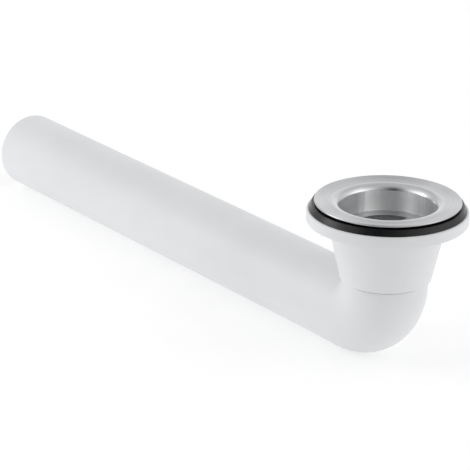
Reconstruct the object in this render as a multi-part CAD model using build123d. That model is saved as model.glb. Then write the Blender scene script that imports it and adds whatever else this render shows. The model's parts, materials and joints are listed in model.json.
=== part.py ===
from build123d import *
import os
from math import asin, atan2, degrees, radians, sin, tan

# Trap connection bend for a sink: a white plastic moulding with a flange, a funnel-shaped neck, a tight
# bend and a long spigot, a rubber seal on the flange, a drawn steel waste flange whose sleeve screws into
# the neck, and a stamped strainer plate welded under the sleeve.
# Millimetres. +Z is up along the inlet, the spigot runs along -X, and the origin is on the inlet axis in
# the clamping plane, where the steel's underside meets the seal.

# Waste flange, drawn from sheet steel
rim_diameter = 70.0
plug_bore = 45.5
sheet = 1.0
dish_depth = 0.8
dish_blend = 8.0
rim_round = 0.42
lip_radius = 4.0
lip_turn = 70.0
sleeve_length = 12.0
sleeve_end_round = 0.3

# Strainer plate, stamped steel
strainer_sheet = 1.0
strainer_opening = 34.0
spoke_width = 3.0
spoke_heading = 8.0
hub_diameter = 10.0
hub_hole = 5.0
opening_round = 1.0

# Thread that holds the sleeve in the neck
thread_pitch = 3.0
thread_turns = 2
thread_height = 0.7
thread_root_width = 1.8
thread_crest_width = 0.8
thread_end_margin = 1.5
thread_clearance = 0.1
thread_sink = 0.2

# Flange seal, moulded rubber
seal_thickness = 2.9
seal_edge = 0.25
seal_edge_round = 0.1
seal_beyond_rim = 2.5
land_beyond_rim = 1.1
seal_clearance = 0.3

# Connection bend, moulded plastic: flange and neck
flange_thickness = 5.5
flange_ledge = 1.0
flange_edge_round = 0.8
flange_foot_round = 0.35
flange_root_round = 1.2
neck_wall = 4.55
neck_run_out = 4.5
foot_step = 1.35
foot_round = 0.5
foot_height = 2.2
joint_line = 0.7

# Connection bend, moulded plastic: bend and spigot
spigot_diameter = 40.0
spigot_wall = 2.0
spigot_reach = 313.0
spigot_end_round = 0.8
outlet_drop = 60.7
bend_thickening = 0.5
throat_radius = 0.5
taper_length = 24.0

# Radii and heights that follow from those sizes
rim_radius = rim_diameter / 2
bore_radius = plug_bore / 2
sleeve_radius = bore_radius + sheet
lip_start_radius = bore_radius + lip_radius * sin(radians(lip_turn))
seat_radius = (lip_start_radius + rim_radius) / 2
thread_bottom = thread_end_margin - sleeve_length
thread_top = thread_bottom + thread_turns * thread_pitch

seal_radius = rim_radius + seal_beyond_rim
seal_inner_radius = lip_start_radius + seal_clearance

flange_radius = seal_radius + flange_ledge
flange_top = -seal_thickness
flange_bottom = flange_top - flange_thickness
neck_radius = sleeve_radius + thread_clearance
neck_thread_bottom = thread_bottom - thread_pitch
neck_thread_top = thread_top + thread_pitch
neck_end = neck_thread_bottom - neck_run_out

spigot_radius = spigot_diameter / 2
water_radius = spigot_radius - spigot_wall
bend_outer_radius = spigot_radius + bend_thickening
bend_radius = bend_outer_radius + throat_radius
spigot_height = -outlet_drop
bend_top = spigot_height + bend_radius
foot_bottom = bend_top + foot_height
foot_radius = bend_outer_radius + foot_step


def turned(outline, axis):
    """A solid of revolution from a closed outline in the XZ plane."""
    return revolve(Plane.XZ * make_face(outline), axis)


def thread_ridge(bottom, top, clearance):
    """A trapezoid carried up a helix around the sleeve, with its foot sunk a little into the sleeve."""
    path = Pos(0, 0, bottom) * Helix(thread_pitch, top - bottom, sleeve_radius)
    height = thread_height + clearance
    half_root = thread_root_width / 2 + clearance
    half_crest = thread_crest_width / 2 + clearance
    outline = Polyline(
        (-thread_sink, -half_root),
        (height, -half_crest),
        (height, half_crest),
        (-thread_sink, half_root),
        close=True,
    )
    section = Plane(origin=path @ 0, x_dir=(1, 0, 0), z_dir=path % 0)
    return sweep(section * make_face(outline), path=path, is_frenet=True)


def make_waste_flange():
    """Sheet steel: a rim dished down to a flat seat, a rounded lip and a threaded sleeve."""
    lip_centre = (lip_start_radius, sheet - lip_radius)
    under_radius = lip_radius - sheet
    under_turn = degrees(asin((lip_start_radius - sleeve_radius) / under_radius))
    dish_width = rim_radius - seat_radius
    dish_angle = atan2(dish_depth, dish_width)
    blend = min(dish_blend, dish_width / 4 / tan(dish_angle / 2))
    lip = CenterArc(lip_centre, lip_radius, 90, lip_turn)
    under_lip = CenterArc(lip_centre, under_radius, 90, under_turn)
    rim = FilletPolyline(
        under_lip @ 0,
        (seat_radius, 0),
        (rim_radius, dish_depth),
        (rim_radius, dish_depth + sheet),
        (seat_radius, sheet),
        lip @ 0,
        radius=[blend + sheet, rim_round, rim_round, blend],
    )
    sleeve = FilletPolyline(
        lip @ 1,
        (bore_radius, -sleeve_length),
        (sleeve_radius, -sleeve_length),
        under_lip @ 1,
        radius=[0, sleeve_end_round],
    )
    collar = turned([rim, lip, sleeve, under_lip], Axis.Z)
    return collar + thread_ridge(thread_bottom, thread_top, 0)


def make_waste_strainer():
    """Plate under the sleeve: a ring, a hub with a hole and four spokes that leave four openings."""
    crossbar = Rectangle(strainer_opening, spoke_width) + Rectangle(spoke_width, strainer_opening)
    openings = Circle(strainer_opening / 2) - Circle(hub_diameter / 2) - Rot(0, 0, spoke_heading) * crossbar
    openings = fillet(openings.vertices(), opening_round)
    outline = Circle(sleeve_radius) - openings - Circle(hub_hole / 2)
    return extrude(Plane.XY.offset(-sleeve_length - strainer_sheet) * outline, strainer_sheet)


def make_flange_seal():
    """Rubber ring with a flat underside, a steep bevel outside and a flat top a little wider than the rim."""
    outline = FilletPolyline(
        (seal_inner_radius, 0),
        (rim_radius + land_beyond_rim, 0),
        (seal_radius, seal_edge - seal_thickness),
        (seal_radius, -seal_thickness),
        (seal_inner_radius, -seal_thickness),
        radius=[0, seal_edge_round, seal_edge_round, seal_edge_round, 0],
        close=True,
    )
    return turned(outline, Axis.Z)


def bend_arm(section_radius):
    """A quarter turn of round bar that leads from straight down to straight along -X."""
    section = Plane.XY.offset(bend_top) * Circle(section_radius)
    turning_axis = Axis((-bend_radius, 0, bend_top), (0, 1, 0))
    return revolve(section, turning_axis, 90)


def make_connection_bend():
    """One hollow moulding: the outer forms are joined, then the waterway is taken out of them."""
    spigot_axis = Axis((0, 0, spigot_height), (1, 0, 0))
    head = FilletPolyline(
        (0, flange_top),
        (flange_radius, flange_top),
        (flange_radius, flange_bottom),
        (neck_radius + neck_wall, flange_bottom),
        (foot_radius, foot_bottom),
        (bend_outer_radius - joint_line, foot_bottom),
        (bend_outer_radius - joint_line, foot_bottom - joint_line),
        (bend_outer_radius, foot_bottom - joint_line),
        (bend_outer_radius, bend_top),
        (0, bend_top),
        radius=[0, flange_edge_round, flange_foot_round, flange_root_round, foot_round, 0, 0, 0, 0, 0],
        close=True,
    )
    spigot = FilletPolyline(
        (-bend_radius, spigot_height),
        (-bend_radius, spigot_height + bend_outer_radius),
        (-bend_radius - taper_length, spigot_height + spigot_radius),
        (-spigot_reach, spigot_height + spigot_radius),
        (-spigot_reach, spigot_height),
        radius=[0, 0, 0, spigot_end_round, 0],
        close=True,
    )
    outside = turned(head, Axis.Z) + bend_arm(bend_outer_radius) + turned(spigot, spigot_axis)

    neck = Polyline(
        (0, neck_thread_top + thread_pitch),
        (neck_radius, neck_thread_top + thread_pitch),
        (neck_radius, neck_end),
        (0, neck_end),
        close=True,
    )
    neck_thread = thread_ridge(neck_thread_bottom, neck_thread_top, thread_clearance)
    threaded_neck = turned(neck, Axis.Z) + neck_thread

    funnel = Polyline(
        (0, neck_end),
        (neck_radius, neck_end),
        (water_radius, bend_top),
        (0, bend_top),
        close=True,
    )
    bore = Polyline(
        (-bend_radius, spigot_height),
        (-bend_radius, spigot_height + water_radius),
        (-spigot_reach, spigot_height + water_radius),
        (-spigot_reach, spigot_height),
        close=True,
    )
    waterway = turned(funnel, Axis.Z) + bend_arm(water_radius) + turned(bore, spigot_axis)
    return outside - threaded_neck - waterway


nodes = {
    "waste_flange": make_waste_flange(),
    "waste_strainer": make_waste_strainer(),
    "flange_seal": make_flange_seal(),
    "connection_bend": make_connection_bend(),
}

os.makedirs("parts", exist_ok=True)
for name, solid in nodes.items():
    export_step(solid, f"parts/{name}.step")
    print(name, round(solid.volume, 1), "mm3")
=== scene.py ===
# %% [markdown]
# # A trap connection bend, dressed around its solid model
# The real object is a white plastic moulding, a black rubber ring, a drawn steel flange that screws into
# the moulding, and a steel strainer plate under the flange's sleeve. The solid model already holds every
# size. This lesson gives the pieces smooth surfaces and real finishes, and then lights them as a small
# product studio would.
# First the solid model is loaded. It stays where it is for the whole lesson.

# %% Load the solid model
import json
import math

import bpy
import numpy as np
from mathutils import Matrix, Vector


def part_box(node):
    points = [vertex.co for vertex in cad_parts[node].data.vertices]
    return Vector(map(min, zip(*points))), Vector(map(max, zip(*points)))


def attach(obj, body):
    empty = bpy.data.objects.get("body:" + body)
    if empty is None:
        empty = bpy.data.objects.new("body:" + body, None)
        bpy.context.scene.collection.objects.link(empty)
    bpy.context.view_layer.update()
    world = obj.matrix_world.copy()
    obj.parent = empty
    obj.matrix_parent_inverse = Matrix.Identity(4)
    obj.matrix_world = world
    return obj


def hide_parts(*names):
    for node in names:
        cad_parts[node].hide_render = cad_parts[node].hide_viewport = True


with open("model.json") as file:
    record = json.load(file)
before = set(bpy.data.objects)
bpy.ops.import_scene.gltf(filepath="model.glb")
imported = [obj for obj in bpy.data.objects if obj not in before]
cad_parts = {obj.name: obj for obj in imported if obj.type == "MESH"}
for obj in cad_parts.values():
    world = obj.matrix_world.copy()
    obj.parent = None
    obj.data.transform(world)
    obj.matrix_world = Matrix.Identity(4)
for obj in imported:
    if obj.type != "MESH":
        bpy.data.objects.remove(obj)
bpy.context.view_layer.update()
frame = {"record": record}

# %% [markdown]
# ## Sizes
# A finish must never change a size, so the main sizes are read back from the model: radii from its
# mounts, reaches from the boxes around its pieces. Small forms that no mount or box gives, such as an
# edge's rounding, are named here in millimetres and turned into metres once.

# %% Read the main sizes
MM = 0.001
mounts = {mount["name"]: mount for mount in frame["record"]["mounts"]}


def mount_radius(name):
    """Radius of a round mount, in metres."""
    return mounts[name]["dims"]["r_mm"] * MM


def reach(node, side, axis):
    """How far a piece reaches along an axis, to a hundredth of a millimetre. Side 0 is low, 1 is high."""
    return round(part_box(node)[side][axis], 5)


bore_radius = mount_radius("inlet_bore")
spigot_radius = mount_radius("outlet_spigot")
water_radius = mount_radius("outlet_bore")
spigot_height = mounts["outlet_spigot"]["pos_m"][2]
spigot_reach = -reach("connection_bend", 0, 0)
flange_radius = reach("connection_bend", 1, 1)
rim_radius = reach("waste_flange", 1, 1)
sleeve_length = -reach("waste_flange", 0, 2)
seal_radius = reach("flange_seal", 1, 1)
seal_thickness = -reach("flange_seal", 0, 2)
floor_height = reach("connection_bend", 0, 2)
print("spigot", spigot_radius, "rim", rim_radius, "flange", flange_radius, "floor at", floor_height)

# %% [markdown]
# ## Surfaces from outlines
# Each piece is a ring that changes its radius as it is carried along a line: round pieces along the
# straight inlet, the moulding along the whole waterway. So each piece is one closed outline, a list of
# (run along the line, radius) pairs. Corners get true arcs, because a real edge is never sharp and it
# is the rounded edge that catches the light.

# %% Outlines with rounded corners
ARC_POINTS = 9
SHARP = 0.0


def rounded(corners):
    """Closed outline through corners given as (run, radius, rounding). No rounding keeps a corner sharp.

    An arc touches both sides at rounding / tan(half angle) from the corner, and its centre lies on the line
    that halves the corner, at rounding / sin(half angle). Its points turn evenly from one side to the other.
    """
    corners = np.array(corners, float)
    corners, roundings = corners[:, :2], corners[:, 2:]
    back = np.roll(corners, 1, axis=0) - corners
    ahead = np.roll(corners, -1, axis=0) - corners
    back /= np.linalg.norm(back, axis=1, keepdims=True)
    ahead /= np.linalg.norm(ahead, axis=1, keepdims=True)
    half = np.arccos(np.clip((back * ahead).sum(axis=1, keepdims=True), -1, 1)) / 2
    middle = (back + ahead) / np.linalg.norm(back + ahead, axis=1, keepdims=True)
    centre = corners + middle * roundings / np.sin(half)
    start = corners + back * roundings / np.tan(half) - centre
    end = corners + ahead * roundings / np.tan(half) - centre
    turn = (np.pi - 2 * half)[:, None]
    share = np.linspace(0, 1, ARC_POINTS)[None, :, None]
    swing = np.sin((1 - share) * turn) * start[:, None] + np.sin(share * turn) * end[:, None]
    points = (centre[:, None] + swing / np.sin(turn)).reshape(-1, 2)
    moved = np.linalg.norm(points - np.roll(points, 1, axis=0), axis=1) > 1e-8
    return points[moved]


def divided(outline, step):
    """The same closed outline with no side longer than step, which may differ from side to side.

    A side of length L gets ceil(L / step) equal parts, laid out with one repeat and one running count.
    """
    ends = np.roll(outline, -1, axis=0)
    parts = np.maximum(np.ceil(np.linalg.norm(ends - outline, axis=1) / step), 1).astype(int)
    before = np.repeat(np.cumsum(parts) - parts, parts)
    share = (np.arange(parts.sum()) - before) / np.repeat(parts, parts)
    first = np.repeat(outline, parts, axis=0)
    return first + np.repeat(ends - outline, parts, axis=0) * share[:, None]


print("each rounded corner becomes", ARC_POINTS, "points")

# %% [markdown]
# ## The waterway
# Water falls down the inlet, turns a tight quarter circle and runs level along the spigot. The line is
# written once, as a function of the run along it, and everything that is round sits on it.

# %% A line that bends once
bend_thickening = 0.5 * MM
throat_radius = 0.5 * MM
bend_outer_radius = spigot_radius + bend_thickening
bend_radius = bend_outer_radius + throat_radius
bend_start = -spigot_height - bend_radius
bend_end = bend_start + bend_radius * math.pi / 2
SIDEWAYS = np.array([0.0, 1.0, 0.0])


def waterway(run):
    """Centre of the ring, and its outward direction in the bend's plane, at each run along the line.

    The turn is the run past the start of the bend over the bend's radius, held between nothing and a
    right angle. What comes before it falls straight down, and what comes after it runs level along -X.
    """
    turn = np.clip((run - bend_start) / bend_radius, 0, np.pi / 2)
    fall = np.minimum(run, bend_start) + bend_radius * np.sin(turn)
    along = np.maximum(run - bend_end, 0) + bend_radius * (1 - np.cos(turn))
    level = np.zeros_like(run)
    centre = np.stack([-along, level, -fall], axis=-1)
    outward = np.stack([np.cos(turn), level, -np.sin(turn)], axis=-1)
    return centre, outward


def carried(outline, around, swell=0.0):
    """Points of a ring carried along the waterway, as an array of rings by points around.

    A point is its ring's centre plus the radius times (cos a outward plus sin a sideways). The swell is
    added to the radius and may differ at every point.
    """
    centre, outward = waterway(outline[:, 0])
    angle = np.linspace(0, 2 * np.pi, around, endpoint=False)
    spokes = np.cos(angle)[:, None] * outward[:, None] + np.sin(angle)[:, None] * SIDEWAYS
    radius = outline[:, 1, None] + swell + np.zeros(around)
    return centre[:, None] + radius[..., None] * spokes


print("the line bends from", round(bend_start, 4), "to", round(bend_end, 4), "m along it")

# %% [markdown]
# ## From a grid to a mesh
# The rings close on themselves, and so does the outline, so the grid has no edge and no pole: every
# point has four neighbours. The mesh is filled in one go from whole arrays. Its UV map gives the angle
# as u and the length along the outline as v, in metres.

# %% Make a closed skin
SHARP_ANGLE = math.radians(40)


def skin(name, points):
    """A mesh object from a closed grid of points, facing outwards, riding on the part's one body.

    Face (i, j) joins points (i, j), (i, j+1), (i+1, j+1) and (i+1, j), counted round both ways. The sum of
    corner . (edge x diagonal) over all faces is positive when they face outwards.
    """
    rings, around = points.shape[:2]
    i, j = np.meshgrid(np.arange(rings), np.arange(around), indexing="ij")
    next_i, next_j = (i + 1) % rings, (j + 1) % around
    corners = [(i, j), (i, next_j), (next_i, next_j), (next_i, j)]
    faces = np.stack([ring * around + place for ring, place in corners], axis=-1).reshape(-1, 4)
    flat = points.reshape(-1, 3)
    a, b, c = flat[faces[:, 0]], flat[faces[:, 1]], flat[faces[:, 2]]
    inside_out = np.einsum("ij,ij->", a, np.cross(b - a, c - a)) < 0
    length = np.linalg.norm(np.roll(points[:, 0], -1, axis=0) - points[:, 0], axis=1)
    v = np.concatenate([[0], np.cumsum(length)])
    u = np.linspace(0, 1, around + 1)
    u_corners = np.stack([u[j], u[j + 1], u[j + 1], u[j]], axis=-1)
    v_corners = np.stack([v[i], v[i], v[i + 1], v[i + 1]], axis=-1)
    uv = np.stack([u_corners, v_corners], axis=-1).reshape(-1, 4, 2)
    if inside_out:
        faces, uv = faces[:, ::-1], uv[:, ::-1]
    mesh = bpy.data.meshes.new(name)
    mesh.from_pydata(flat, [], faces.tolist())
    layer = mesh.uv_layers.new(name="around_and_along")
    layer.data.foreach_set("uv", np.ascontiguousarray(uv, np.float32).ravel())
    mesh.shade_smooth()
    mesh.set_sharp_from_angle(angle=SHARP_ANGLE)
    mesh.validate()
    piece = bpy.data.objects.new(name, mesh)
    bpy.context.scene.collection.objects.link(piece)
    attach(piece, "root")
    print(name, len(faces) * 2, "triangles")
    return piece


print("edges that turn more than", round(math.degrees(SHARP_ANGLE)), "degrees stay crisp")

# %% [markdown]
# ## The screw thread
# A coarse thread holds the steel sleeve in the plastic neck. A thread is a ridge that climbs one pitch
# in each turn, so on a grid it is only a swelling of the radius that depends on height and angle. The
# neck gets the same ridge as a groove, a little wider and one turn longer at both ends.

# %% Thread as a swelling
thread_pitch = 3.0 * MM
thread_turns = 2
thread_height = 0.7 * MM
thread_root = 0.9 * MM
thread_crest = 0.4 * MM
thread_end_margin = 1.5 * MM
thread_start = sleeve_length - thread_end_margin
thread_clearance = 0.1 * MM


def thread(run, around, first_turn, last_turn, spare):
    """Height of the ridge at each ring and angle, larger by spare on every side.

    The climb is the height over the start in pitches, less the angle in turns, so it is a whole number on
    the ridge. The distance to the nearest whole turn falls from the crest's half width to the root's.
    """
    angle = np.arange(around) / around
    climb = ((thread_start - run) / thread_pitch)[:, None] - angle
    nearest = np.clip(np.round(climb), first_turn, last_turn)
    distance = np.abs(climb - nearest) * thread_pitch - spare
    flank = (thread_root - distance) / (thread_root - thread_crest)
    return (thread_height + spare) * np.clip(flank, 0, 1)


print("thread", thread_turns, "turns, from", round(-thread_start, 4), "m")

# %% [markdown]
# ## The connection bend
# The moulding is one hollow thing: a thick flange, a funnel that ends in a small step over a fine joint
# line, the bend and the long spigot. Its outline goes down the outside, round the spigot's open end and
# back up the inside.

# %% Places along the moulding
sheet = 1.0 * MM
neck_wall = 4.55 * MM
neck_run_out = 4.5 * MM
joint_line = 0.7 * MM

flange_top = seal_thickness
flange_bottom = flange_top + 5.5 * MM
sleeve_radius = bore_radius + sheet
neck_radius = sleeve_radius + thread_clearance
neck_end = thread_start + thread_pitch + neck_run_out
foot = bend_start - 2.2 * MM
foot_radius = bend_outer_radius + 1.35 * MM
joint_radius = bend_outer_radius - joint_line
taper_end = bend_end + 24.0 * MM
spigot_end = bend_end + spigot_reach - bend_radius
print("the spigot ends", round(spigot_end, 4), "m along the waterway")

# %% [markdown]
# The outline needs points only where the form changes, apart from the long straight sides, which are
# divided so that the bend stays smooth. The neck's wall is divided much finer, because its rings must
# also follow the thread's flanks.

# %% Moulding outline
MOULDING_STEP = 2.0 * MM
THREAD_STEP = 0.3 * MM
MOULDING_AROUND = 192

moulding_corners = rounded(
    [
        (flange_top, neck_radius, SHARP),
        (flange_top, flange_radius, 0.8 * MM),
        (flange_bottom, flange_radius, 0.35 * MM),
        (flange_bottom, neck_radius + neck_wall, 1.2 * MM),
        (foot, foot_radius, 0.5 * MM),
        (foot, joint_radius, 0.1 * MM),
        (foot + joint_line, joint_radius, 0.1 * MM),
        (foot + joint_line, bend_outer_radius, 0.1 * MM),
        (bend_end, bend_outer_radius, SHARP),
        (taper_end, spigot_radius, SHARP),
        (spigot_end, spigot_radius, 0.8 * MM),
        (spigot_end, water_radius, 0.3 * MM),
        (bend_start, water_radius, SHARP),
        (neck_end, neck_radius, SHARP),
    ]
)
on_neck = np.isclose(moulding_corners[:, 1], neck_radius)
neck_side = on_neck & np.roll(on_neck, -1)
moulding_outline = divided(moulding_corners, np.where(neck_side, THREAD_STEP, MOULDING_STEP))
print("moulding outline has", len(moulding_outline), "rings")

# %% [markdown]
# The neck's groove is cut by letting the radius swell there. The rings on the neck's wall get the
# swelling, and all other rings keep their radius.

# %% Moulding with its neck thread
in_neck = np.isclose(moulding_outline[:, 1], neck_radius) & (moulding_outline[:, 0] <= neck_end)
groove = thread(moulding_outline[:, 0], MOULDING_AROUND, -1, thread_turns, thread_clearance)
connection_bend = skin(
    "connection_bend_moulding",
    carried(moulding_outline, MOULDING_AROUND, groove * in_neck[:, None]),
)
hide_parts("connection_bend")

# %% [markdown]
# ## The rubber seal
# A flat ring with a steep bevel outside. Its flat top is a little wider than the steel rim, so under the
# rim a dark slot shows, then the bevel and a thin edge. It could be lathed from a curve. Carrying an
# outline round the inlet is the same thing, with the tools that are already here.

# %% Seal
lip_radius = 4.0 * MM
lip_turn = math.radians(70)
lip_start = bore_radius + lip_radius * math.sin(lip_turn)
seal_inner_radius = lip_start + 0.3 * MM
land_radius = rim_radius + 1.1 * MM
bevel_end = seal_thickness - 0.25 * MM
SEAL_ROUND = 0.1 * MM
SEAL_STEP = 0.6 * MM
SEAL_AROUND = 192

seal_outline = divided(
    rounded(
        [
            (0, seal_inner_radius, SEAL_ROUND),
            (0, land_radius, SEAL_ROUND),
            (bevel_end, seal_radius, SEAL_ROUND),
            (seal_thickness, seal_radius, SEAL_ROUND),
            (seal_thickness, seal_inner_radius, SEAL_ROUND),
        ]
    ),
    SEAL_STEP,
)
flange_seal = skin("flange_seal_ring", carried(seal_outline, SEAL_AROUND))
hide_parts("flange_seal")

# %% [markdown]
# ## The steel waste flange
# Drawn from sheet: a dished rim, a flat seat, a rounded lip and a sleeve. The lip turns through less
# than a right angle, so it meets the bore in a fine crease, which the real one shows as a sharp line.
# A corner whose rounding ends exactly at the next corner gives that shape with the same outline tool.

# %% Bends in the sheet
dish_depth = 0.8 * MM
dish_blend = 8.0 * MM
seat_radius = (lip_start + rim_radius) / 2
crease = lip_radius * (1 - math.cos(lip_turn)) - sheet
under_radius = lip_radius - sheet
under_turn = math.asin((lip_start - sleeve_radius) / under_radius)
under_crease = under_radius * (1 - math.cos(under_turn))
lip_corner = lip_start - lip_radius * math.tan(lip_turn / 2)
under_corner = lip_start - under_radius * math.tan(under_turn / 2)
print("the lip meets the bore", round(crease, 5), "m under the clamping plane")

# %% [markdown]
# The outline goes from the rim's edge over the top to the bore, down the sleeve and back under the rim.
# The rim's upper edge is rounded a hair more than its lower edge, so that its highest point stays
# inside the solid model's box.

# %% Waste flange
FLANGE_STEP = 0.3 * MM
FLANGE_AROUND = 256

flange_outline = divided(
    rounded(
        [
            (-dish_depth - sheet, rim_radius, 0.43 * MM),
            (-sheet, seat_radius, dish_blend),
            (-sheet, lip_corner, lip_radius),
            (crease, bore_radius, SHARP),
            (sleeve_length, bore_radius, SHARP),
            (sleeve_length, sleeve_radius, 0.3 * MM),
            (under_crease, sleeve_radius, SHARP),
            (0, under_corner, under_radius),
            (0, seat_radius, dish_blend + sheet),
            (-dish_depth, rim_radius, 0.42 * MM),
        ]
    ),
    FLANGE_STEP,
)
on_sleeve = np.isclose(flange_outline[:, 1], sleeve_radius)
ridge = thread(flange_outline[:, 0], FLANGE_AROUND, 0, thread_turns - 1, 0.0)
waste_flange = skin(
    "waste_flange_steel",
    carried(flange_outline, FLANGE_AROUND, ridge * on_sleeve[:, None]),
)
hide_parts("waste_flange")

# %% [markdown]
# ## The strainer
# A stamped plate under the sleeve: a ring, and a cross whose four spokes meet in a hub with a hole. Seen
# from above, both are circles whose radius swells with the angle. So they are two more outlines carried
# round the inlet, and only the swelling is new. The cross is made a little too long and ends in the ring.

# %% Shape of the openings
strainer_bottom = -reach("waste_strainer", 0, 2)
opening_radius = 17.0 * MM
opening_round = 1.0 * MM
hub_radius = 5.0 * MM
hub_hole_radius = 2.5 * MM
spoke_half = 1.5 * MM
cross_overlap = 0.5 * MM
SPOKE_HEADING = math.radians(8)
HUB_BLEND = 12
STRAINER_AROUND = 512

quarter = np.pi / 2
heading = np.linspace(0, 2 * np.pi, STRAINER_AROUND, endpoint=False) - SPOKE_HEADING
from_spoke = np.abs((heading + quarter / 2) % quarter - quarter / 2)


def cross_edge():
    """Radius of the cross at each angle.

    A spoke's side lies at half its width over the sine of the angle from the spoke, up to the spoke's end.
    The hub and that side are blended as the n-th root of the sum of their n-th powers, which rounds the
    corner between them.
    """
    narrowest = spoke_half / (opening_radius + cross_overlap)
    side = spoke_half / np.maximum(np.sin(from_spoke), narrowest)
    return (hub_radius**HUB_BLEND + side**HUB_BLEND) ** (1 / HUB_BLEND)


def ring_edge():
    """Inner radius of the ring at each angle, with an arc in each corner beside a spoke.

    The arc's centre lies one rounding inside the opening's edge and one rounding beside the spoke. A ray
    from the axis at angle d from that centre, which is c away, leaves an arc of radius r at
    c cos d + root(r r - c c sin d sin d).
    """
    centre = opening_radius - opening_round
    centre_angle = np.arcsin((spoke_half + opening_round) / centre)
    off = np.clip(from_spoke - centre_angle, -np.arcsin(opening_round / centre), 0)
    half_chord = np.sqrt(np.maximum(opening_round**2 - (centre * np.sin(off)) ** 2, 0))
    return centre * np.cos(off) + half_chord


print("openings are", round(opening_radius - hub_radius, 4), "m wide from hub to ring")

# %% [markdown]
# Both pieces of the plate are flat rings, so one function makes them from an inner and an outer radius and
# a swelling for each. They count together as the strainer, and both stand in for its one solid.

# %% Strainer plate
EDGE_ROUND = 0.2 * MM
PLATE_STEP = 0.5 * MM


def plate(name, inner_radius, outer_radius, inner_swell, outer_swell):
    """A flat ring whose two edges swell with the angle. What lies between them is stretched evenly."""
    corners = [
        (sleeve_length, inner_radius, EDGE_ROUND),
        (sleeve_length, outer_radius, EDGE_ROUND),
        (strainer_bottom, outer_radius, EDGE_ROUND),
        (strainer_bottom, inner_radius, EDGE_ROUND),
    ]
    outline = divided(rounded(corners), PLATE_STEP)
    share = ((outline[:, 1] - inner_radius) / (outer_radius - inner_radius))[:, None]
    swell = inner_swell * (1 - share) + outer_swell * share
    piece = skin(name, carried(outline, STRAINER_AROUND, swell))
    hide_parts("waste_strainer")
    return piece


strainer_ring = plate("strainer_ring", opening_radius, sleeve_radius, ring_edge() - opening_radius, 0.0)
strainer_cross = plate("strainer_cross", hub_hole_radius, hub_radius, 0.0, cross_edge() - hub_radius)

# %% [markdown]
# ## Shader maths as arithmetic
# A finish is a small sum: a roughness, plus some grain, less a polished band. Blender wants each sum as
# nodes and links. Two small classes let it be written as Python instead: one wraps a socket and does
# arithmetic, the other holds a node tree and adds any node from its type, settings and inputs.

# %% A socket that does arithmetic
class Value:
    """A socket whose sums, products and powers add Math nodes to its tree."""

    def __init__(self, tree, socket):
        self.tree = tree
        self.socket = socket

    def reckon(self, operation, first, second):
        """One Math node on two operands, either of which may be a plain number."""
        return self.tree.node("ShaderNodeMath", {"operation": operation}, {0: first, 1: second})

    def __add__(self, other):
        return self.reckon("ADD", self, other)

    def __sub__(self, other):
        return self.reckon("SUBTRACT", self, other)

    def __rsub__(self, other):
        return self.reckon("SUBTRACT", other, self)

    def __mul__(self, other):
        return self.reckon("MULTIPLY", self, other)

    def __truediv__(self, other):
        return self.reckon("DIVIDE", self, other)

    def __pow__(self, other):
        return self.reckon("POWER", self, other)

    def __rpow__(self, other):
        return self.reckon("POWER", other, self)

    __radd__ = __add__
    __rmul__ = __mul__


class Tree:
    """A node tree that gains nodes by type, settings and inputs."""

    def __init__(self, nodes_and_links):
        self.made = nodes_and_links

    def node(self, kind, settings=None, inputs=None, output=0):
        """Adds a node: its settings first, then a value or link for each input. Returns one output."""
        node = self.made.nodes.new(kind)
        for name, setting in (settings or {}).items():
            setattr(node, name, setting)
        for name, value in (inputs or {}).items():
            self.feed(node.inputs[name], value)
        return Value(self, node.outputs[output])

    def feed(self, socket, value):
        """Links a value to a socket, or sets a plain number or colour on it."""
        if isinstance(value, Value):
            self.made.links.new(value.socket, socket)
        else:
            socket.default_value = value

    def noise(self, vector, scale, detail=2.0):
        """Soft noise between 0 and 1 on a vector."""
        inputs = {"Vector": vector, "Scale": scale, "Detail": detail}
        return self.node("ShaderNodeTexNoise", {}, inputs)

    def ramp(self, value, low, high):
        """0 below low, 1 above high, and a smooth step between them."""
        settings = {"interpolation_type": "SMOOTHSTEP", "clamp": True}
        return self.node("ShaderNodeMapRange", settings, {"Value": value, "From Min": low, "From Max": high})

    def mixed(self, share, first, second):
        """One colour fading into another."""
        settings = {"data_type": "RGBA", "blend_type": "MIX"}
        return self.node("ShaderNodeMix", settings, {0: share, 6: first, 7: second}, output=2)


# %% [markdown]
# Every finish here starts from Blender's Principled shader. What is the same all over a piece is set on
# its sockets as a plain number. Only what changes over the surface gets nodes.

# %% A finish on a piece
class Finish(Tree):
    """A Principled material: constants go straight on its sockets, and fed values vary over the pieces."""

    def __init__(self, name, constants):
        self.material = bpy.data.materials.new(name)
        self.material.use_nodes = True
        super().__init__(self.material.node_tree)
        self.shader = self.made.nodes["Principled BSDF"]
        for socket, value in constants.items():
            self.shader.inputs[socket].default_value = value
        self.place = self.node("ShaderNodeTexCoord", output=3)

    def axis(self, index):
        """One of the place's three coordinates."""
        return self.node("ShaderNodeSeparateXYZ", {}, {"Vector": self.place}, output=index)

    def bump(self, height, strength, depth):
        """A normal that leans as it would on grooves of that depth."""
        return self.node("ShaderNodeBump", {}, {"Height": height, "Strength": strength, "Distance": depth})

    def finish(self, pieces, **fed):
        """Feeds the shader's varying sockets and puts the material on the pieces."""
        for name, value in fed.items():
            self.feed(self.shader.inputs[name.replace("_", " ")], value)
        for piece in pieces:
            piece.data.materials.clear()
            piece.data.materials.append(self.material)
        print(self.material.name, "has", len(self.made.nodes), "nodes")


# %% [markdown]
# ## White plastic
# Moulded polypropylene is a satin white. Close up it has a fine even grain from the mould, and its gloss
# changes a little from place to place where the melt cooled at different speeds. From a step away both
# only soften the highlights. So the grain is a very small bump, and slow noise moves the roughness and
# the colour by a few hundredths.

# %% Moulded plastic
PLASTIC_WHITE = (0.742, 0.752, 0.764, 1)
PLASTIC_SHADE = (0.712, 0.723, 0.737, 1)
MOULD_GRAIN = 1800.0
MOULD_FLOW = 22.0
PLASTIC_ROUGHNESS = 0.36
GRAIN_DEPTH = 0.02 * MM

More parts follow.
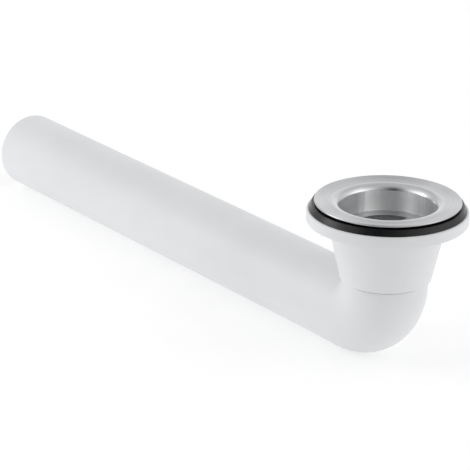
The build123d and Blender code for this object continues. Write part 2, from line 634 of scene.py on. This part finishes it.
plastic = Finish("moulded_white_plastic", {"IOR": 1.49, "Specular IOR Level": 0.5})
flow = plastic.noise(plastic.place, MOULD_FLOW, 3.0)
grain = plastic.noise(plastic.place, MOULD_GRAIN)
plastic.finish(
    [connection_bend],
    Base_Color=plastic.mixed(plastic.ramp(flow, 0.35, 0.7), PLASTIC_WHITE, PLASTIC_SHADE),
    Roughness=PLASTIC_ROUGHNESS + flow * 0.1 + grain * 0.05,
    Normal=plastic.bump(grain, 0.12, GRAIN_DEPTH),
)

# %% [markdown]
# ## Black rubber
# Rubber is dark but not dull: its skin mirrors a little light, and more at a glancing angle, so the ring
# is nearly black in front and grey at its ends. A moulded ring also has a fine grain and slightly paler,
# duller dusty patches. The shader's own reflection gives the first. A small bump gives the grain, and slow
# noise in the colour and the roughness gives the dust.

# %% Rubber
RUBBER_BLACK = (0.002, 0.002, 0.002, 1)
RUBBER_DUST = (0.007, 0.007, 0.008, 1)
RUBBER_ROUGHNESS = 0.2
DUST_PATCHES = 260.0
SKIN_GRAIN = 1500.0
SKIN_DEPTH = 0.15 * MM

rubber = Finish("moulded_black_rubber", {"IOR": 1.52, "Specular IOR Level": 0.3})
dust = rubber.noise(rubber.place, DUST_PATCHES, 4.0)
skin_grain = rubber.noise(rubber.place, SKIN_GRAIN, 3.0)
rubber.finish(
    [flange_seal],
    Base_Color=rubber.mixed(rubber.ramp(dust, 0.45, 0.7), RUBBER_BLACK, RUBBER_DUST),
    Roughness=RUBBER_ROUGHNESS + dust * 0.1,
    Normal=rubber.bump(skin_grain, 0.6, SKIN_DEPTH),
)

# %% [markdown]
# ## Brushed and polished steel
# The rim was brushed on a turning wheel, so its lines run round the axis, and the lip was buffed. Noise
# that changes fast across the lines and slowly along them gives the brushing: its vector is the
# direction from the axis, which turns slowly, and the distance along the outline, which runs fast. The
# shader's anisotropy then stretches each highlight across the lines, as brushed steel does.

# %% Where the steel is brushed, buffed or drawn
LINES_PER_METRE = 5000.0
TURNS_OF_LINE = 2.5

steel = Finish("brushed_and_polished_steel", {"Anisotropic": 0.95, "Anisotropic Rotation": 0.25})
x, y, z = steel.axis(0), steel.axis(1), steel.axis(2)
from_axis = (x * x + y * y) ** 0.5
round_x = x / from_axis * TURNS_OF_LINE
round_y = y / from_axis * TURNS_OF_LINE
across = (from_axis - z) * LINES_PER_METRE
round_and_across = steel.node("ShaderNodeCombineXYZ", {}, {0: round_x, 1: round_y, 2: across})
lines = steel.noise(round_and_across, 1.0, 4.0)
near_bore = steel.ramp(from_axis, lip_start + 1.2 * MM, lip_start - 0.4 * MM)
on_lip = near_bore * steel.ramp(z, -crease - 0.2 * MM, -crease)
in_bore = 1 - steel.ramp(z, -crease - 0.3 * MM, -crease)
brushed = (1 - on_lip) * (1 - in_bore)
print("brushing has", LINES_PER_METRE * MM, "lines per millimetre")

# %% [markdown]
# The bore was drawn, not brushed. Its wall is smooth enough to mirror the wall across from it, in soft
# upright streaks. The mirrored tent gives part of them. The rest is painted reflection: three broad bright
# stripes with duller steel between them are painted into the colour at a fixed heading round the wall,
# broken by fine upright noise that changes fast round the wall and slowly down it. Their heading was set
# against the photograph. The wall is also a little less metallic than the rim, so that some light scatters
# down to the strainer.

# %% Steel
STEEL_PALE = (0.61, 0.615, 0.63, 1)
STEEL_DEEP = (0.54, 0.545, 0.56, 1)
# Bright and dull ends of the painted reflection stripes in the bore's colour.
STEEL_PAINTED_HIGHLIGHT = (0.985, 0.987, 0.99, 1)
STEEL_BETWEEN_PAINTED_HIGHLIGHTS = (0.55, 0.553, 0.564, 1)
PAINTED_REFLECTION_BAND_COUNT = 3
PAINTED_REFLECTION_HEADING = math.radians(138)
STREAKS_ROUND = 400.0
STREAKS_DOWN = 30.0
BUFFED_ROUGHNESS = 0.13
LINE_DEPTH = 0.02 * MM

# Painted reflection: bright stripes at a fixed heading round the bore, painted into its colour in place of
# mirrored light.
heading_round = y.reckon("ARCTAN2", y, x) - PAINTED_REFLECTION_HEADING
wave = heading_round.reckon("COSINE", heading_round * PAINTED_REFLECTION_BAND_COUNT, 0)
painted_reflection_bands = steel.ramp(wave, -0.6, 0.3)
wall_place = {0: x * STREAKS_ROUND, 1: y * STREAKS_ROUND, 2: z * STREAKS_DOWN}
down_the_wall = steel.node("ShaderNodeCombineXYZ", {}, wall_place)
streaks = steel.ramp(steel.noise(down_the_wall, 1.0, 2.0), 0.3, 0.7) - 0.5
bore_painted_reflection_colour = steel.mixed(painted_reflection_bands + streaks * 0.3, STEEL_BETWEEN_PAINTED_HIGHLIGHTS, STEEL_PAINTED_HIGHLIGHT)
rim_colour = steel.mixed(steel.ramp(lines, 0.3, 0.7), STEEL_PALE, STEEL_DEEP)
steel.finish(
    [waste_flange],
    Base_Color=steel.mixed(in_bore, rim_colour, bore_painted_reflection_colour),
    Roughness=BUFFED_ROUGHNESS + brushed * (0.15 + lines * 0.12) + in_bore * (0.2 + lines * 0.04),
    Metallic=1 - in_bore * 0.28,
    Normal=steel.bump(lines * brushed, 0.12, LINE_DEPTH),
)

# %% [markdown]
# ## Rolled strainer steel
# The strainer was stamped from rolled sheet and never brushed, so it mirrors the wall above it softly and
# the same in every direction. Limescale and wear leave cloudy patches that are a little darker and duller,
# so one slow noise moves both the colour and the roughness.

# %% Strainer steel
SHEET_BRIGHT = (0.52, 0.523, 0.53, 1)
SHEET_WORN = (0.46, 0.463, 0.47, 1)
SHEET_ROUGHNESS = 0.32
CLOUD_PATCHES = 180.0

sheet_steel = Finish("rolled_strainer_steel", {"Metallic": 1.0})
clouds = sheet_steel.noise(sheet_steel.place, CLOUD_PATCHES, 3.0)
sheet_steel.finish(
    [strainer_ring, strainer_cross],
    Base_Color=sheet_steel.mixed(sheet_steel.ramp(clouds, 0.35, 0.65), SHEET_BRIGHT, SHEET_WORN),
    Roughness=SHEET_ROUGHNESS + clouds * 0.1,
)

# %% [markdown]
# ## Studio
# A product studio is a white tent round the object, a pale floor and a camera with a long lens. The
# camera's place, turn and lens were fitted to edges of the object in its photograph, so that a render
# can be laid over it. A long lens from far away keeps both ends of the spigot nearly the same size.

# %% Camera at the photograph's angle
PICTURE_PIXELS = 470
FOCAL_PIXELS = 2486.5
SENSOR_WIDTH = 36.0
camera_azimuth = math.radians(52.67)
camera_elevation = math.radians(20.97)
camera_roll = math.radians(0.62)
camera_distance = 1280.0 * MM
camera_target = Vector((-118.68, 0, -53.11)) * MM


def direction(azimuth, elevation):
    """Unit vector towards a point of the studio. Azimuth 0 is -Y and 90 is +X."""
    level = math.cos(elevation)
    return Vector((math.sin(azimuth) * level, -math.cos(azimuth) * level, math.sin(elevation)))


backward = direction(camera_azimuth, camera_elevation)
level_right = Vector((math.cos(camera_azimuth), math.sin(camera_azimuth), 0))
level_up = backward.cross(level_right)
right = level_right * math.cos(camera_roll) + level_up * math.sin(camera_roll)
up = level_up * math.cos(camera_roll) - level_right * math.sin(camera_roll)
camera_data = bpy.data.cameras.new("studio_camera")
camera_data.sensor_width = SENSOR_WIDTH
camera_data.lens = SENSOR_WIDTH * FOCAL_PIXELS / PICTURE_PIXELS
camera_data.clip_end = 50.0
camera = bpy.data.objects.new("studio_camera", camera_data)
bpy.context.scene.collection.objects.link(camera)
turn = Matrix((right, up, backward)).transposed().to_4x4()
camera.matrix_world = Matrix.Translation(camera_target + backward * camera_distance) @ turn
bpy.context.scene.camera = camera
print("lens", round(camera_data.lens, 1), "mm")

# %% [markdown]
# The floor is one large sheet of paper under the object. It glows a little by itself, as paper lit from
# below does, so that it comes out white and the shadow on it stays faint.

# %% Floor
FLOOR_HALF = 6.0
FLOOR_GLOW = 0.48
PAPER_PALE = (0.62, 0.62, 0.62, 1)
PAPER_SHADE = (0.6, 0.6, 0.6, 1)
PAPER_PATCHES = 40.0

floor_mesh = bpy.data.meshes.new("studio_floor")
floor_sides = [(-1, -1), (1, -1), (1, 1), (-1, 1)]
floor_corners = [(a * FLOOR_HALF, b * FLOOR_HALF, floor_height) for a, b in floor_sides]
floor_mesh.from_pydata(floor_corners, [], [(0, 1, 2, 3)])
floor = bpy.data.objects.new("studio_floor", floor_mesh)
bpy.context.scene.collection.objects.link(floor)
paper_constants = {"Roughness": 0.9, "Specular IOR Level": 0.0}
glow_constants = {"Emission Strength": FLOOR_GLOW, "Emission Color": (1, 1, 1, 1)}
paper = Finish("pale_floor", paper_constants | glow_constants)
paper_grain = paper.ramp(paper.noise(paper.place, PAPER_PATCHES), 0.3, 0.7)
paper.finish([floor], Base_Color=paper.mixed(paper_grain, PAPER_SHADE, PAPER_PALE))

# %% [markdown]
# One lamp stands near the spigot's open end, to the camera's left. Light from a near lamp fades along the
# spigot, which light from far away can't do, so the plastic darkens gently towards the bend. A large disk
# keeps its shadows soft.

# %% Soft box beside the spigot
BOX_WATTS = 0.68
BOX_SIZE = 350.0 * MM
BOX_DISTANCE = 600.0 * MM
BOX_ASIDE = math.radians(-70)
BOX_HEIGHT = math.radians(25)

box_data = bpy.data.lights.new("spigot_soft_box", "AREA")
box_data.shape = "DISK"
box_data.size = BOX_SIZE
box_data.energy = BOX_WATTS
soft_box = bpy.data.objects.new("spigot_soft_box", box_data)
bpy.context.scene.collection.objects.link(soft_box)
spigot_end_place = Vector((-spigot_reach, 0, spigot_height))
box_place = spigot_end_place + direction(camera_azimuth + BOX_ASIDE, BOX_HEIGHT) * BOX_DISTANCE
aim = (spigot_end_place - box_place).to_track_quat("-Z", "Y").to_matrix().to_4x4()
soft_box.matrix_world = Matrix.Translation(box_place) @ aim
print("soft box at", [round(side, 2) for side in box_place])

# %% [markdown]
# The tent is the world's own light, which needs no lamps. It is white all round, brighter at both sides and
# a little brighter behind the object. A dark upright gap beside the camera draws the one dark mark in
# the polished lip, and a dark low room behind the camera keeps the funnel's front from glaring. Each is a
# smooth function of the direction that a ray looks in.

# %% Patches of the tent
world = bpy.data.worlds.new("white_tent")
world.use_nodes = True
bpy.context.scene.world = world
tent = Tree(world.node_tree)
looking = tent.node("ShaderNodeTexCoord", output=0)


def towards(target):
    """Cosine of the angle between the ray's direction and a unit vector."""
    settings = {"operation": "DOT_PRODUCT"}
    return tent.node("ShaderNodeVectorMath", settings, {0: looking, 1: tuple(target)}, output=1)


def soft_patch(aside, height, sharpness):
    """1 towards a point in degrees from the camera's heading, falling as exp(sharpness (cosine - 1))."""
    target = direction(camera_azimuth + math.radians(aside), math.radians(height))
    return math.e ** ((towards(target) - 1) * sharpness)


left_side = soft_patch(-84, 22, 8.0) * 1.05
right_side = soft_patch(70, 22, 8.0) * 1.05
back_wall = soft_patch(172, 8, 6.0) * 0.42 + soft_patch(102, 6, 10.0) * 0.3
print("bright patches take", len(tent.made.nodes), "nodes")

# %% [markdown]
# The gap is a bell curve across its heading that fades out behind the object. The room is dark near the
# floor's level, on the camera's side. Both darken the tent by a share. Rays that come straight from the
# camera see plain white instead, as the picture's background.

# %% White tent
TENT_LIGHT = 0.69
GAP_ASIDE = math.radians(-18)
GAP_WIDTH = 0.44
GAP_DARKNESS = 0.92
ROOM_DARKNESS = 0.6

gap_heading = camera_azimuth + GAP_ASIDE
gap_aside = towards((math.cos(gap_heading), math.sin(gap_heading), 0)) / GAP_WIDTH
gap_ahead = towards(direction(gap_heading, 0))
gap = math.e ** (gap_aside * gap_aside * -1) * tent.ramp(gap_ahead, 0.08, 1.0)
low = 1 - tent.ramp(towards((0, 0, 1)), 0.1, 0.35)
room = low * tent.ramp(towards(direction(camera_azimuth, 0)), 0.35, 0.9)
tent_white = TENT_LIGHT + left_side + right_side + back_wall
brightness = tent_white * (1 - gap * GAP_DARKNESS) * (1 - room * ROOM_DARKNESS)
white = (1, 1, 1, 1)
lit = tent.node("ShaderNodeBackground", {}, {"Color": white, "Strength": brightness})
seen = tent.node("ShaderNodeBackground", {}, {"Color": white, "Strength": 1.0})
from_camera = tent.node("ShaderNodeLightPath")
shown = tent.node("ShaderNodeMixShader", {}, {0: from_camera, 1: lit, 2: seen})
tent.feed(tent.made.nodes["World Output"].inputs["Surface"], shown)
bpy.context.scene.view_settings.view_transform = "Standard"
print("tent has", len(tent.made.nodes), "nodes")
